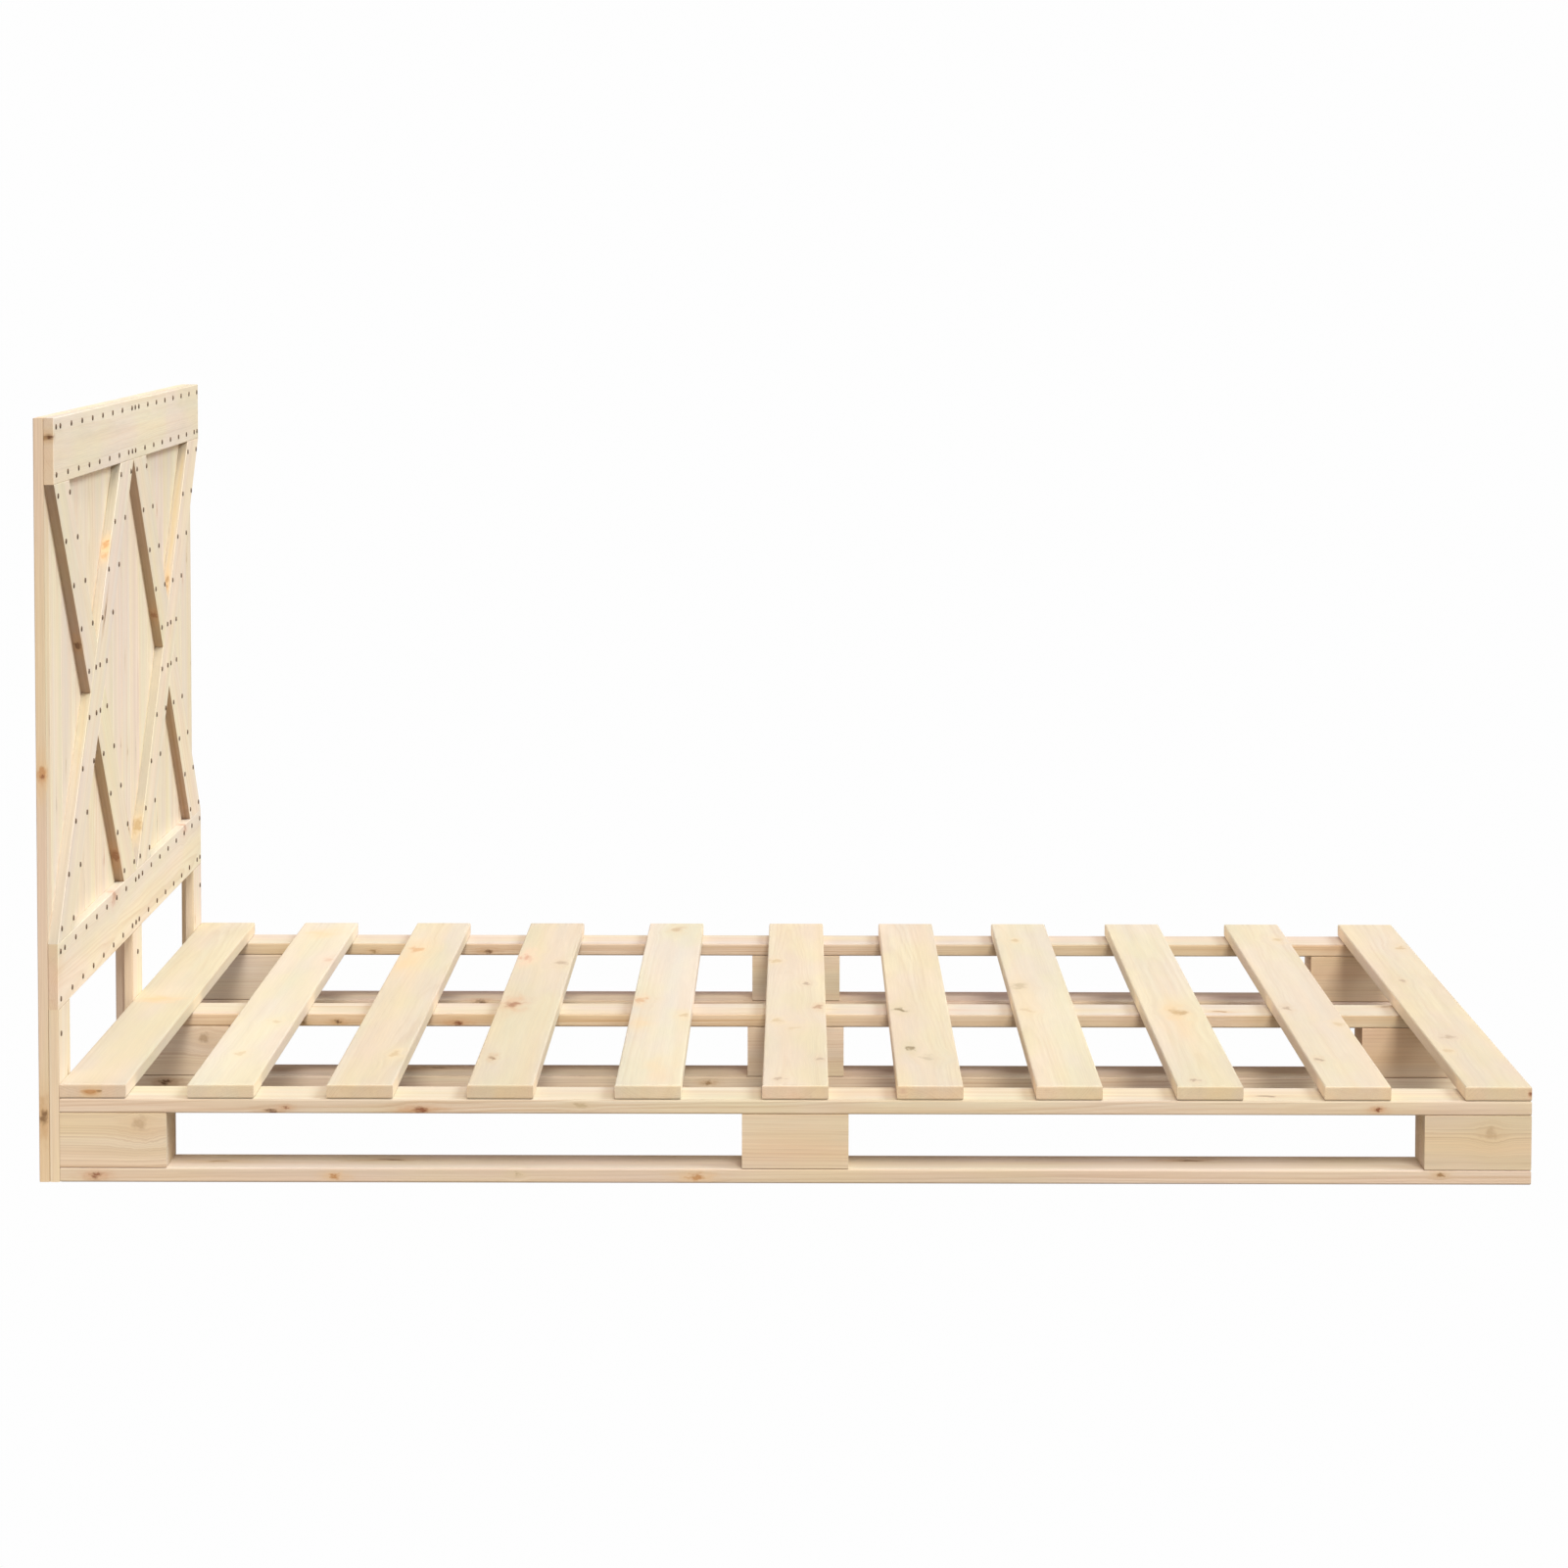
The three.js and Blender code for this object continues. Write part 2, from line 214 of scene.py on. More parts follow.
def make_pine_group():
    """Sawn pine: growth rings round a heart outside the board, fibres, and slow changes of tone.

    Place is a point in the board, as its way along the grain, across it and through the thickness.
    """
    bench, given, result = new_group(
        "pine",
        "ShaderNodeTree",
        [
            ("NodeSocketVector", "Place", None),
            ("NodeSocketFloat", "Seed", 0.0),
            ("NodeSocketVector", "Heart", (0.0, 0.02, -0.07)),
            ("NodeSocketFloat", "Ring Width", 0.004),
            ("NodeSocketFloat", "Taper", 0.008),
            ("NodeSocketFloat", "End Grain", 0.0),
            ("NodeSocketColor", "Early Wood", (0.8, 0.66, 0.47, 1)),
            ("NodeSocketColor", "Late Wood", (0.62, 0.42, 0.22, 1)),
            ("NodeSocketFloat", "Figure", 0.5),
        ],
        [
            ("NodeSocketColor", "Colour"),
            ("NodeSocketFloat", "Roughness"),
            ("NodeSocketFloat", "Height"),
        ],
    )
    place = given["Place"]
    end_grain = given["End Grain"]
    log = bench.vector("ADD", place, bench.scaled(LOG_STEP, given["Seed"]))

    def grain_noise(scales, detail=2.0):
        along, across = scales
        return bench.noise(bench.vector("MULTIPLY", log, (along, across, across)), detail=detail)

    from_heart = bench.vector("MULTIPLY", bench.vector("SUBTRACT", place, given["Heart"]), (0.0, 1.0, 1.0))
    along_grain = bench.put("ShaderNodeSeparateXYZ", {0: place}).outputs["X"]
    lean = bench.times(along_grain, given["Taper"])
    radius = bench.plus(bench.vector("LENGTH", from_heart, answer="Value"), lean)
    for scales, reach in RING_DRIFTS:
        radius = bench.plus(radius, bench.times(bench.minus(grain_noise(scales), 0.5), reach))
    years = bench.maths("DIVIDE", radius, given["Ring Width"])
    weather = bench.noise_along(bench.plus(bench.times(years, WEATHER_PACE), given["Seed"]))
    years = bench.plus(years, bench.times(weather, WEATHER_REACH))
    season = bench.maths("FRACT", years)
    late = bench.times(bench.rise(season, *LATE_GROWTH), bench.rise(season, *LATE_STOP))
    growth = bench.noise_along(bench.plus(bench.times(years, VIGOUR_PACE), VIGOUR_START))
    late = bench.times(late, bench.rise(growth, *VIGOUR))

    fibre = grain_noise(FIBRE, detail=3.0)
    cloud = grain_noise(CLOUDS)
    figure = bench.plus(bench.times(late, LATE_FIGURE), bench.rise(grain_noise(STREAKS), *STREAK_FIGURE))
    figure = bench.plus(figure, bench.rise(grain_noise(STRIPES), *STRIPE_FIGURE))
    figure = bench.times(figure, bench.times(given["Figure"], bench.rise(cloud, *CLOUD_FIGURE)))
    figure = bench.plus(figure, bench.times(end_grain, END_FIGURE), use_clamp=True)
    colour = bench.blend(figure, given["Early Wood"], given["Late Wood"])

    shade = bench.plus(bench.rise(fibre, *FIBRE_SHADE), bench.rise(cloud, *CLOUD_SHADE))
    warmth = bench.rise(grain_noise(WARM_PATCHES), *WARMTH)
    blush = bench.rise(grain_noise(BLUSH_PATCHES), *BLUSH)
    tint = {
        "Red": bench.plus(shade, warmth),
        "Green": bench.minus(shade, bench.times(blush, BLUSH_GREEN)),
        "Blue": bench.plus(bench.minus(shade, warmth), blush),
    }
    tone = bench.put("ShaderNodeCombineColor", tint).outputs[0]
    rough = bench.plus(bench.rise(fibre, *FIBRE_ROUGHNESS), bench.times(end_grain, END_ROUGHNESS))
    height = bench.plus(bench.times(fibre, FIBRE_HEIGHT), bench.times(late, LATE_HEIGHT))
    bench.feed(result["Colour"], bench.blend(1.0, colour, tone, "MULTIPLY"))
    bench.feed(result["Roughness"], bench.minus(rough, bench.times(late, LATE_POLISH)))
    bench.feed(result["Height"], height)
    return bench.tree


# Knots, in which a distance is counted in the knot's own radii unless it says otherwise

# Noise that shapes a knot: how far it moves on for each metre, its scales, and how far it reaches
KNOT_NOISE_STEP = 31.0
TWIST_SCALE = 0.6
TWIST_REACH = 3.2
FRAY_SCALE = 1.5
FRAY_REACH = 1.3

# The share of its depth at which a knot begins to fade, and how much it narrows inward
FADE_START = 0.7
NARROWING = 1.3

# The core's fading edge, its own rings, and the halo's tails along the grain
CORE_EDGE = (0.35, 1.25, 1.0, 0.0)
CORE_RING_PACE = 15.0
CORE_RING_TONE = 0.1
TAIL_SHAPE = (0.45, 0.8, 0.8)
TAIL_FRAY = 0.6
HALO_FALL = -0.8

# How the grain flows round the knot: how soon the pull fades, and how strong it is
PULL_FALL = -0.16
PULL_STRENGTH = -0.72


def make_knot_group():
    """A branch that the saw has cut: a stained core, a warm glow round it, and grain that flows past.

    Depth is how far the branch shows on each side of Middle, along its own way.
    """
    bench, given, result = new_group(
        "pine_knot",
        "ShaderNodeTree",
        [
            ("NodeSocketVector", "Place", None),
            ("NodeSocketVector", "Bent Place", None),
            ("NodeSocketVector", "Middle", (0, 0, 0)),
            ("NodeSocketVector", "Branch", (0, 0, 1)),
            ("NodeSocketFloat", "Radius", 0.008),
            ("NodeSocketFloat", "Stretch", 1.3),
            ("NodeSocketFloat", "Depth", 0.03),
        ],
        [
            ("NodeSocketVector", "Bent Place"),
            ("NodeSocketFloat", "Core"),
            ("NodeSocketFloat", "Halo"),
        ],
    )
    depth = given["Depth"]
    from_middle = bench.vector("SUBTRACT", given["Place"], given["Middle"])
    deep = bench.vector("DOT_PRODUCT", from_middle, given["Branch"], answer="Value")
    away = bench.vector("SUBTRACT", from_middle, bench.scaled(given["Branch"], deep))
    narrowed = bench.maths("DIVIDE", 1.0, given["Stretch"])
    squeeze = bench.put("ShaderNodeCombineXYZ", {"X": narrowed, "Y": 1.0, "Z": 1.0})
    away = bench.vector("MULTIPLY", away, squeeze.outputs[0])
    away = bench.scaled(away, bench.maths("DIVIDE", 1.0, given["Radius"]))

    knot_place = bench.vector("ADD", away, bench.scaled(given["Middle"], KNOT_NOISE_STEP))
    twist = {"Vector": knot_place, "Scale": TWIST_SCALE, "Detail": 2.0}
    twist = bench.put("ShaderNodeTexNoise", twist).outputs["Color"]
    twist = bench.scaled(bench.vector("SUBTRACT", twist, (0.5, 0.5, 0.5)), TWIST_REACH)
    away = bench.vector("ADD", away, bench.vector("MULTIPLY", twist, (1.0, 1.0, 0.0)))
    fray = bench.times(bench.minus(bench.noise(knot_place, FRAY_SCALE, detail=3.0), 0.5), FRAY_REACH)
    shown = bench.rise(bench.maths("ABSOLUTE", deep), bench.times(depth, FADE_START), depth, 1.0, 0.0)
    inward = bench.times(bench.maths("POWER", bench.maths("DIVIDE", deep, depth), 2.0), NARROWING)

    def reach_of(vector):
        """Distance from the branch's middle line, which grows with the depth."""
        flat = bench.vector("DOT_PRODUCT", vector, vector, answer="Value")
        return bench.maths("SQRT", bench.plus(flat, inward))

    reach = bench.plus(reach_of(away), fray)
    rings = bench.times(bench.maths("SINE", bench.times(reach, CORE_RING_PACE)), CORE_RING_TONE)
    core = bench.times(bench.rise(reach, *CORE_EDGE), bench.plus(rings, 1.0 - CORE_RING_TONE))
    bench.feed(result["Core"], bench.times(core, shown))

    tails = bench.plus(reach_of(bench.vector("MULTIPLY", away, TAIL_SHAPE)), bench.times(fray, TAIL_FRAY))
    tails = bench.maths("POWER", bench.maths("MAXIMUM", tails, 0.0), 2.0)
    halo = bench.maths("EXPONENT", bench.times(tails, HALO_FALL))
    bench.feed(result["Halo"], bench.times(halo, shown))

    near = bench.maths("POWER", bench.maths("MAXIMUM", reach, 0.0), 2.0)
    near = bench.times(bench.maths("EXPONENT", bench.times(near, PULL_FALL)), shown)
    pull = bench.scaled(from_middle, bench.times(near, PULL_STRENGTH))
    pull = bench.vector("MULTIPLY", pull, (0.0, 1.0, 1.0))
    bench.feed(result["Bent Place"], bench.vector("ADD", given["Bent Place"], pull))
    return bench.tree


PINE = make_pine_group()
PINE_KNOT = make_knot_group()

# Tones of freshly planed pine: early wood, late wood
TONES = {
    "cream": ((0.91, 0.80, 0.625), (0.76, 0.58, 0.39)),
    "straw": ((0.895, 0.795, 0.60), (0.74, 0.57, 0.36)),
    "rose": ((0.90, 0.785, 0.63), (0.74, 0.55, 0.40)),
    "oat": ((0.695, 0.638, 0.51), (0.56, 0.45, 0.31)),
    "wheat": ((0.71, 0.637, 0.48), (0.57, 0.44, 0.275)),
    "fawn": ((0.675, 0.597, 0.453), (0.53, 0.405, 0.255)),
    "blush": ((0.705, 0.62, 0.465), (0.56, 0.42, 0.275)),
    "flax": ((0.755, 0.677, 0.515), (0.58, 0.43, 0.265)),
    "umber": ((0.72, 0.595, 0.47), (0.54, 0.38, 0.26)),
    "dusk": ((0.79, 0.655, 0.525), (0.60, 0.43, 0.31)),
    "birch": ((0.80, 0.70, 0.565), (0.66, 0.52, 0.37)),
    "honey": ((0.86, 0.72, 0.52), (0.64, 0.45, 0.27)),
    "sand": ((0.85, 0.71, 0.51), (0.63, 0.45, 0.275)),
    "clay": ((0.81, 0.66, 0.465), (0.60, 0.42, 0.25)),
    "milk": ((0.71, 0.63, 0.52), (0.57, 0.43, 0.28)),
    "peach": ((0.945, 0.785, 0.60), (0.73, 0.51, 0.33)),
    "russet": ((0.92, 0.70, 0.50), (0.70, 0.46, 0.27)),
}

# Stains of the knots: core, halo
STAINS = {
    "dark": ((0.12, 0.045, 0.015), (0.55, 0.31, 0.13)),
    "red": ((0.24, 0.075, 0.03), (0.64, 0.34, 0.16)),
    "brown": ((0.34, 0.18, 0.07), (0.67, 0.45, 0.23)),
    "amber": ((0.40, 0.26, 0.11), (0.74, 0.56, 0.31)),
    "olive": ((0.20, 0.15, 0.07), (0.62, 0.53, 0.34)),
    "orange": ((0.55, 0.27, 0.10), (0.80, 0.55, 0.29)),
    "pink": ((0.56, 0.31, 0.20), (0.80, 0.56, 0.41)),
    "grey": ((0.35, 0.26, 0.18), (0.65, 0.51, 0.36)),
    "pale": ((0.57, 0.44, 0.26), (0.75, 0.62, 0.41)),
}

# Knots and streaks that show in the photograph. Each lies on a face of its board, at two
# distances in millimetres from the board's lowest corner: top is along X and Y, front along
# X and Z, and foot along Y and Z. Then come its radius in millimetres, its stain, how strong
# the stain is, and how far the saw has drawn it out along the grain. An end is the front face
# of a board that runs across the bed, where the branch lies in the cut and is drawn out along
# X. An edge is a narrow side of a brace, along Y and Z.
KNOTS = {
    "slat_01": [
        ("end", 42, 8, 5, "orange", 0.9, 3.4),
        ("end", 54, 10, 2, "brown", 0.8, 2.6),
        ("top", 38, 662, 18, "orange", 0.85, 0.6),
    ],
    "slat_02": [
        ("top", 41, 1285, 16, "orange", 0.7, 1),
        ("top", 61, 475, 9, "pale", 0.5, 1.6),
        ("top", 83, 1021, 9, "pink", 0.35, 1.9),
        ("top", 44, 224, 8, "pale", 0.5, 1.6),
    ],
    "slat_03": [
        ("top", 24, 1127, 13.5, "orange", 0.5, 2.2),
        ("top", 18, 985, 15, "orange", 0.55, 2.4),
        ("top", 74, 224, 9, "pale", 0.75, 1.9),
    ],
    "slat_04": [
        ("top", 16, 1048, 10.5, "pink", 0.75, 3.5),
        ("top", 76, 995, 13.5, "grey", 0.5, 1.6),
        ("top", 23, 627, 12.5, "red", 0.62, 2.2),
        ("top", 21, 193, 5.5, "dark", 0.5, 2.4),
    ],
    "slat_05": [
        ("top", 11, 662, 10.5, "orange", 0.45, 2.1),
        ("top", 10, 468, 14, "orange", 0.4, 1.6),
        ("top", 55, 110, 14, "orange", 0.3, 3.2),
        ("top", 50, 1336, 11, "brown", 0.33, 2.1),
        ("top", 79, 535, 7, "pale", 0.69, 2.1),
    ],
    "slat_06": [
        ("top", 12, 1021, 10.5, "pale", 0.75, 1.6),
        ("top", 62, 813, 6, "grey", 0.6, 1.9),
        ("top", 80, 604, 7, "red", 0.4, 2.1),
        ("top", 16, 491, 11.5, "pale", 0.62, 1.6),
        ("top", 42, 430, 12.5, "pale", 0.44, 1.6),
        ("top", 23, 45, 7, "grey", 0.5, 1.6),
        ("top", 79, 193, 6, "grey", 0.5, 1.9),
    ],
    "slat_07": [
        ("top", 17, 586, 9, "olive", 0.75, 2.2),
        ("top", 26, 275, 6.5, "olive", 0.7, 3),
        ("top", 48, 203, 13.5, "olive", 0.25, 1.3),
        ("end", 8, 12, 6, "pink", 0.35, 1.4),
    ],
    "slat_08": [
        ("top", 18, 789, 13, "olive", 0.4, 1.8),
        ("top", 20, 715, 15, "pale", 0.44, 4),
        ("top", 16, 585, 10.5, "pale", 0.5, 1.9),
        ("top", 30, 1226, 8, "pale", 0.75, 1.6),
    ],
    "slat_09": [
        ("top", 47, 569, 13.9, "amber", 0.65, 2),
        ("top", 38, 470, 15, "orange", 0.31, 5.8),
        ("top", 28, 39, 6, "grey", 0.62, 1.9),
    ],
    "slat_10": [
        ("top", 16, 604, 7, "grey", 0.62, 2.2),
        ("top", 74, 473, 10.5, "pale", 0.62, 1.6),
        ("top", 15, 193, 6.5, "grey", 0.75, 1.8),
        ("top", 72, 1237, 9, "pale", 0.75, 1.8),
    ],
    "slat_11": [
        ("top", 72, 1156, 9, "amber", 0.38, 2.1),
        ("top", 31, 844, 7, "grey", 0.5, 1.9),
        ("top", 31, 370, 9, "grey", 0.5, 1.9),
        ("top", 16, 262, 7, "pale", 0.5, 1.8),
        ("end", 88, 10, 3.5, "red", 0.8, 1.2),
    ],
    "runner_top_board_right": [
        ("front", 289, 3, 3.5, "dark", 0.8, 2.6),
        ("front", 308, 8, 2.5, "red", 0.7, 1.8),
        ("front", 489, 5, 5, "red", 0.85, 2.4),
        ("front", 709, 12, 4, "pale", 0.8, 2.6),
        ("front", 1791, 8, 3.5, "red", 0.95, 1.4),
        ("top", 1644, 30, 5.5, "grey", 0.95, 2.4),
        ("top", 1089, 45, 30, "brown", 0.35, 1.2),
    ],
    "runner_top_board_centre": [
        ("front", 309, 7, 3.4, "dark", 0.85, 1.7),
        ("front", 256, 5, 3.2, "brown", 0.6, 2.0),
        ("front", 489, 5, 4.2, "red", 0.9, 2.0),
        ("top", 1644, 27, 6, "brown", 0.7, 1.8),
        ("top", 1900, 74, 6, "dark", 0.6, 1.6),
    ],
    "runner_top_board_left": [
        ("front", 488, 6, 4.2, "dark", 0.75, 1.9),
        ("front", 299, 6, 3.6, "brown", 0.7, 1.8),
    ],
    "runner_bottom_board_right": [
        ("front", 49, 9, 5, "red", 0.75, 1.5),
        ("front", 374, 9, 5, "orange", 0.85, 1.5),
        ("front", 622, 12, 4, "pale", 0.8, 1.4),
        ("front", 865, 9, 6, "orange", 0.85, 1.9),
        ("front", 1876, 14, 3.5, "brown", 0.85, 1.5),
        ("top", 446, 53, 7, "dark", 0.6, 3.2),
        ("top", 208, 44, 6, "brown", 0.6, 3.0),
        ("top", 1538, 60, 6, "dark", 0.6, 2.8),
    ],
    "runner_bottom_board_centre": [
        ("front", 48, 9, 5, "dark", 0.8, 1.7),
        ("front", 867, 10, 4, "brown", 0.7, 1.6),
        ("top", 453, 62, 7, "dark", 0.6, 3.0),
    ],
    "runner_bottom_board_left": [("front", 477, 16, 4.5, "dark", 0.7, 1.8)],
    "block_right_head": [("front", 111, 61, 11, "brown", 0.32, 1.1)],
    "block_right_middle": [
        ("front", 94, 36, 20, "orange", 0.28, 1.7),
        ("front", 29, 36, 16, "orange", 0.16, 1.8),
    ],
    "block_right_foot": [
        ("front", 90, 53, 9, "brown", 0.3, 1.0),
        ("front", 84, 30, 14, "orange", 0.14, 1.8),
    ],
    "block_centre_head": [("front", 108, 57, 9, "brown", 0.4, 1.0)],
    "headboard_post_right": [
        ("front", 8, 558, 8, "orange", 0.8, 1.6),
        ("front", 9, 554, 3, "red", 0.7, 1.4),
        ("front", 6, 90, 7, "dark", 1.0, 1.7),
        ("front", 6, 45, 30, "orange", 0.4, 1.6),
        ("foot", 26, 624, 2, "grey", 0.5, 7.0),
    ],
    "headboard_rail_upper": [("end", 7, 65, 4.4, "dark", 0.9, 2.2), ("end", 1, 63, 4, "brown", 0.6, 1.5)],
    "headboard_rail_lower": [
        ("end", 7, 54, 16, "pink", 0.5, 1.4),
        ("foot", 485, 84, 10, "pink", 0.7, 1.9),
        ("foot", 1210, 84, 9, "pink", 0.6, 1.9),
    ],
    "headboard_plank_01": [("foot", 43, 271, 2.5, "grey", 0.55, 5.0), ("foot", 60, 620, 5, "pink", 0.3, 9.0)],
    # A long dark streak along the joint with the next plank: a painted shadow in the joint
    "headboard_plank_03": [("foot", 88.5, 119, 1.8, "dark", 0.6, 16.0)],
    "headboard_plank_05": [("foot", 86, 142, 12, "pink", 0.5, 1.6)],
    "headboard_plank_08": [
        ("foot", 58, 146, 13, "orange", 0.6, 1.2),
        ("foot", 24, 150, 5, "brown", 0.6, 1.2),
        ("foot", 54, 263, 2.5, "grey", 0.55, 7.0),
    ],
    "headboard_plank_09": [("foot", 12, 134, 12, "orange", 0.35, 1.5)],
    # A long dark streak along the joint with the next plank: a painted shadow in the joint
    "headboard_plank_10": [("foot", 88.5, 119, 1.8, "dark", 0.6, 16.0)],
    "brace_right_whole": [
        ("foot", 421, 415, 5.5, "dark", 0.6, 3.4),
        ("edge", 472, 511, 6.5, "orange", 1.0, 1.2),
        ("edge", 459, 496, 5.5, "orange", 0.55, 1.3),
        ("edge", 253, 274, 5, "pale", 0.3, 26.0),
    ],
    "brace_right_upper": [("edge", 218, 74, 5.5, "dark", 0.75, 1.5)],
    "brace_right_lower": [
        ("edge", 187, 43, 8, "red", 0.6, 1.6),
        ("foot", 312, 64, 10, "orange", 0.5, 1.4),
        ("foot", 276, 72, 3, "red", 0.6, 1.3),
    ],
    "brace_left_whole": [
        ("edge", 56, 60, 9, "amber", 0.7, 1.6),
        ("edge", 475, 514, 5.5, "pale", 0.7, 24.0),
        ("edge", 380, 410, 3.5, "brown", 0.8, 3.2),
        ("edge", 369, 399, 3, "brown", 0.6, 2.4),
    ],
    "brace_left_upper": [("edge", 237, 56, 6, "red", 0.55, 1.5)],
}

# Tone of each board, by the start of its name. Some also carry painted shade and light: the centre and left
# runners' bottom boards are darker for the shade under the deck, and the blocks are lighter and warmer to
# make up for the shade they stand in.
BOARD_TONES = {
    "slat_01": "fawn",
    "slat_02": "oat",
    "slat_03": "fawn",
    "slat_04": "fawn",
    "slat_05": "oat",
    "slat_06": "blush",
    "slat_07": "blush",
    "slat_08": "wheat",
    "slat_09": "wheat",
    "slat_10": "blush",
    "slat_11": "blush",
    "runner_top_board_right": "flax",
    "runner_top_board": "milk",
    "runner_bottom_board_right": "birch",
    "runner_bottom_board_centre": "umber",
    "runner_bottom_board_left": "dusk",
    "block_right_foot": "clay",
    "block_right": "sand",
    "block_centre_foot": "russet",
    "block_left_foot": "russet",
    "block": "peach",
    "headboard_leg_board_centre": "cream",
    "headboard_leg_board_left": "rose",
    "headboard_leg_board_right": "straw",
    "headboard_plank_03": "rose",
    "headboard_plank_04": "straw",
    "headboard_plank_07": "rose",
    "headboard_plank_08": "rose",
    "headboard_plank_11": "rose",
    "headboard_plank_12": "straw",
    "headboard_plank": "cream",
    "headboard_post_centre": "rose",
    "headboard_post_left": "straw",
    "headboard_post_right": "honey",
    "headboard_rail": "cream",
    "brace_right_whole": "rose",
    "brace_right_lower": "straw",
    "brace_left_upper": "straw",
    "brace": "cream",
}

# How strong the grain shows on each kind of board
FIGURES = {"slat": 0.28, "runner": 0.7, "block": 0.55, "headboard": 0.5, "brace": 0.45}

# How much stronger it shows on the narrow sides. Where no key starts the name, it stays as it is.
SIDE_FIGURES = {
    "brace_right_whole": 1.0,
    "brace_left_whole": 1.0,
    "brace": 2.4,
    "runner_top_board_centre": 1.6,
    "runner_top_board_left": 1.6,
}

# Tone of the narrow sides against the wide faces. It is partly the wood's own and partly painted shade and
# light: the braces' edges and undersides are darkened for the shade they lie in, the rails' tops are dulled
# against the light on them, the posts' and leg boards' sides are a little darkened, and the slats' and
# runners' sides are lightened against tops that are toned down for the light they get.
SIDE_TONES_AND_PAINTED_LIGHT = {
    "slat": (1.31, 1.24, 1.21),
    "runner_top_board_right": (1.13, 1.07, 1.04),
    "runner_top": (1.24, 1.11, 0.96),
    "runner_bottom_board_right": (1.03, 0.97, 0.89),
    "runner_bottom_board_left": (1.22, 1.22, 1.19),
    "runner_bottom": (1.34, 1.34, 1.32),
    "headboard_post_right": (1.0, 0.96, 0.95),
    "headboard_post": (0.97, 0.91, 0.85),
    "headboard_leg": (0.98, 0.94, 0.87),
    "headboard_rail": (0.84, 0.87, 0.89),
    "brace_right_whole": (0.595, 0.60, 0.585),
    "brace_left_whole": (0.52, 0.51, 0.53),
    "brace": (0.56, 0.47, 0.44),
}

# Tone of the sawn ends against the wide faces. It is partly the end grain's own and partly painted light: the
# blocks' ends are lightened and cooled for bounced light that the lamps don't give them, and the slats' ends
# are lightened against their toned-down tops.
END_TONES_AND_PAINTED_LIGHT = {
    "slat": (1.21, 1.13, 1.06),
    "headboard_rail": (0.90, 0.85, 0.78),
    "block_right_foot": (1.06, 1.13, 1.27),
    "block_right_head": (1.02, 1.07, 1.18),
}

# Painted shade on the rounded edges: the shade in the grooves where the blocks, posts and leg boards meet
# other boards, and a duller edge on the runners' boards against the light that catches it
PAINTED_ARRIS_SHADES = {
    "block": (0.62, 0.52, 0.44),
    "headboard_post": (0.62, 0.52, 0.44),
    "headboard_leg": (0.62, 0.52, 0.44),
    "runner": (0.88, 0.82, 0.80),
}

# How far a knot reaches into the board in millimetres, by the face that it shows on
KNOT_DEPTHS = {"top": 30, "front": 25, "foot": 20, "edge": 12}

# A knot that lies in the cut of an end is drawn out in depth, and only this much across
END_STRETCH = 1.2

# A stain of at least this radius, in millimetres, is a patch of colour that leaves the grain as it is
PATCH_RADIUS = 14

# How strong a stain's halo and core lie over the wood
HALO_STRENGTH = 0.85
CORE_STRENGTH = 1.12

# The braces' slope: across the bed for each metre of rise
BRACE_SLOPE = 0.925

# Ranges that each board's own growth is drawn from. The ring's heart lies outside the board.
BOARD_DRAW = 2
SEEDS = (0, 40)
HEART_ASIDE = (-0.05, 0.05)
HEART_AWAY = (0.035, 0.11)
RING_WIDTHS = (0.0024, 0.0044)
TAPERS = (0.004, 0.014)

# Ranges of the knots on boards whose own knots don't show: two shares of the face, and the rest
KNOT_COUNTS = [1, 2, 2]
SHARES_ALONG = (0.15, 0.85)
SHARES_ACROSS = (0.08, 0.92)
KNOT_RADII = (3.5, 6.5)
KNOT_STAINS = ["pale", "pink", "brown", "pale", "orange"]
KNOT_STRENGTHS = (0.3, 0.6)
KNOT_STRETCHES = (1.2, 2.0)

# How squarely a surface has to face a way to belong to that face, and where a rounded edge begins
FACE_LEAN = (0.8, 0.95)
ARRIS_SHARE = (0.1, 0.9, 1.0, 0.0)

# The bare wood's surface
WOOD_SHEEN = 0.35
WOOD_BUMP = 0.25
WOOD_BUMP_HEIGHT = 0.0006


def by_start(table, name, otherwise=None):
    """The table's first entry whose key starts the board's name."""
    return next((entry for start, entry in table.items() if name.startswith(start)), otherwise)


def tone_of(tones, name):
    """The board's own tone in a table, or plain white."""
    tone = by_start(tones, name)
    return with_alpha(tone) if tone else WHITE


def lie_of_board(name):
    """Directions along the board's grain and through its thickness."""
    if name.startswith("slat"):
        return ACROSS_BED, UP
    if name.startswith(("runner", "block")):
        return ALONG_BED, UP
    if name.startswith("headboard_rail"):
        return ACROSS_BED, ALONG_BED
    if name.startswith("brace"):
        side = 1 if name.endswith("whole") else -1
        return Vector((0, side * BRACE_SLOPE, 1)).normalized(), ALONG_BED
    return UP, ALONG_BED


def knot_point(low, high, face, first, second, along, through):
    """A knot's place on a face of the board, and the direction of its branch."""
    if face == "top":
        return Vector((low.x + first * MM, low.y + second * MM, high.z)), UP
    if face in ("front", "end"):
        point = Vector((low.x + first * MM, low.y, low.z + second * MM))
        return point, ACROSS_BED if face == "front" else ALONG_BED
    x = high.x if face == "foot" else (low.x + high.x) / 2
    point = Vector((x, low.y + first * MM, low.z + second * MM))
    return point, ALONG_BED if face == "foot" else through.cross(along)


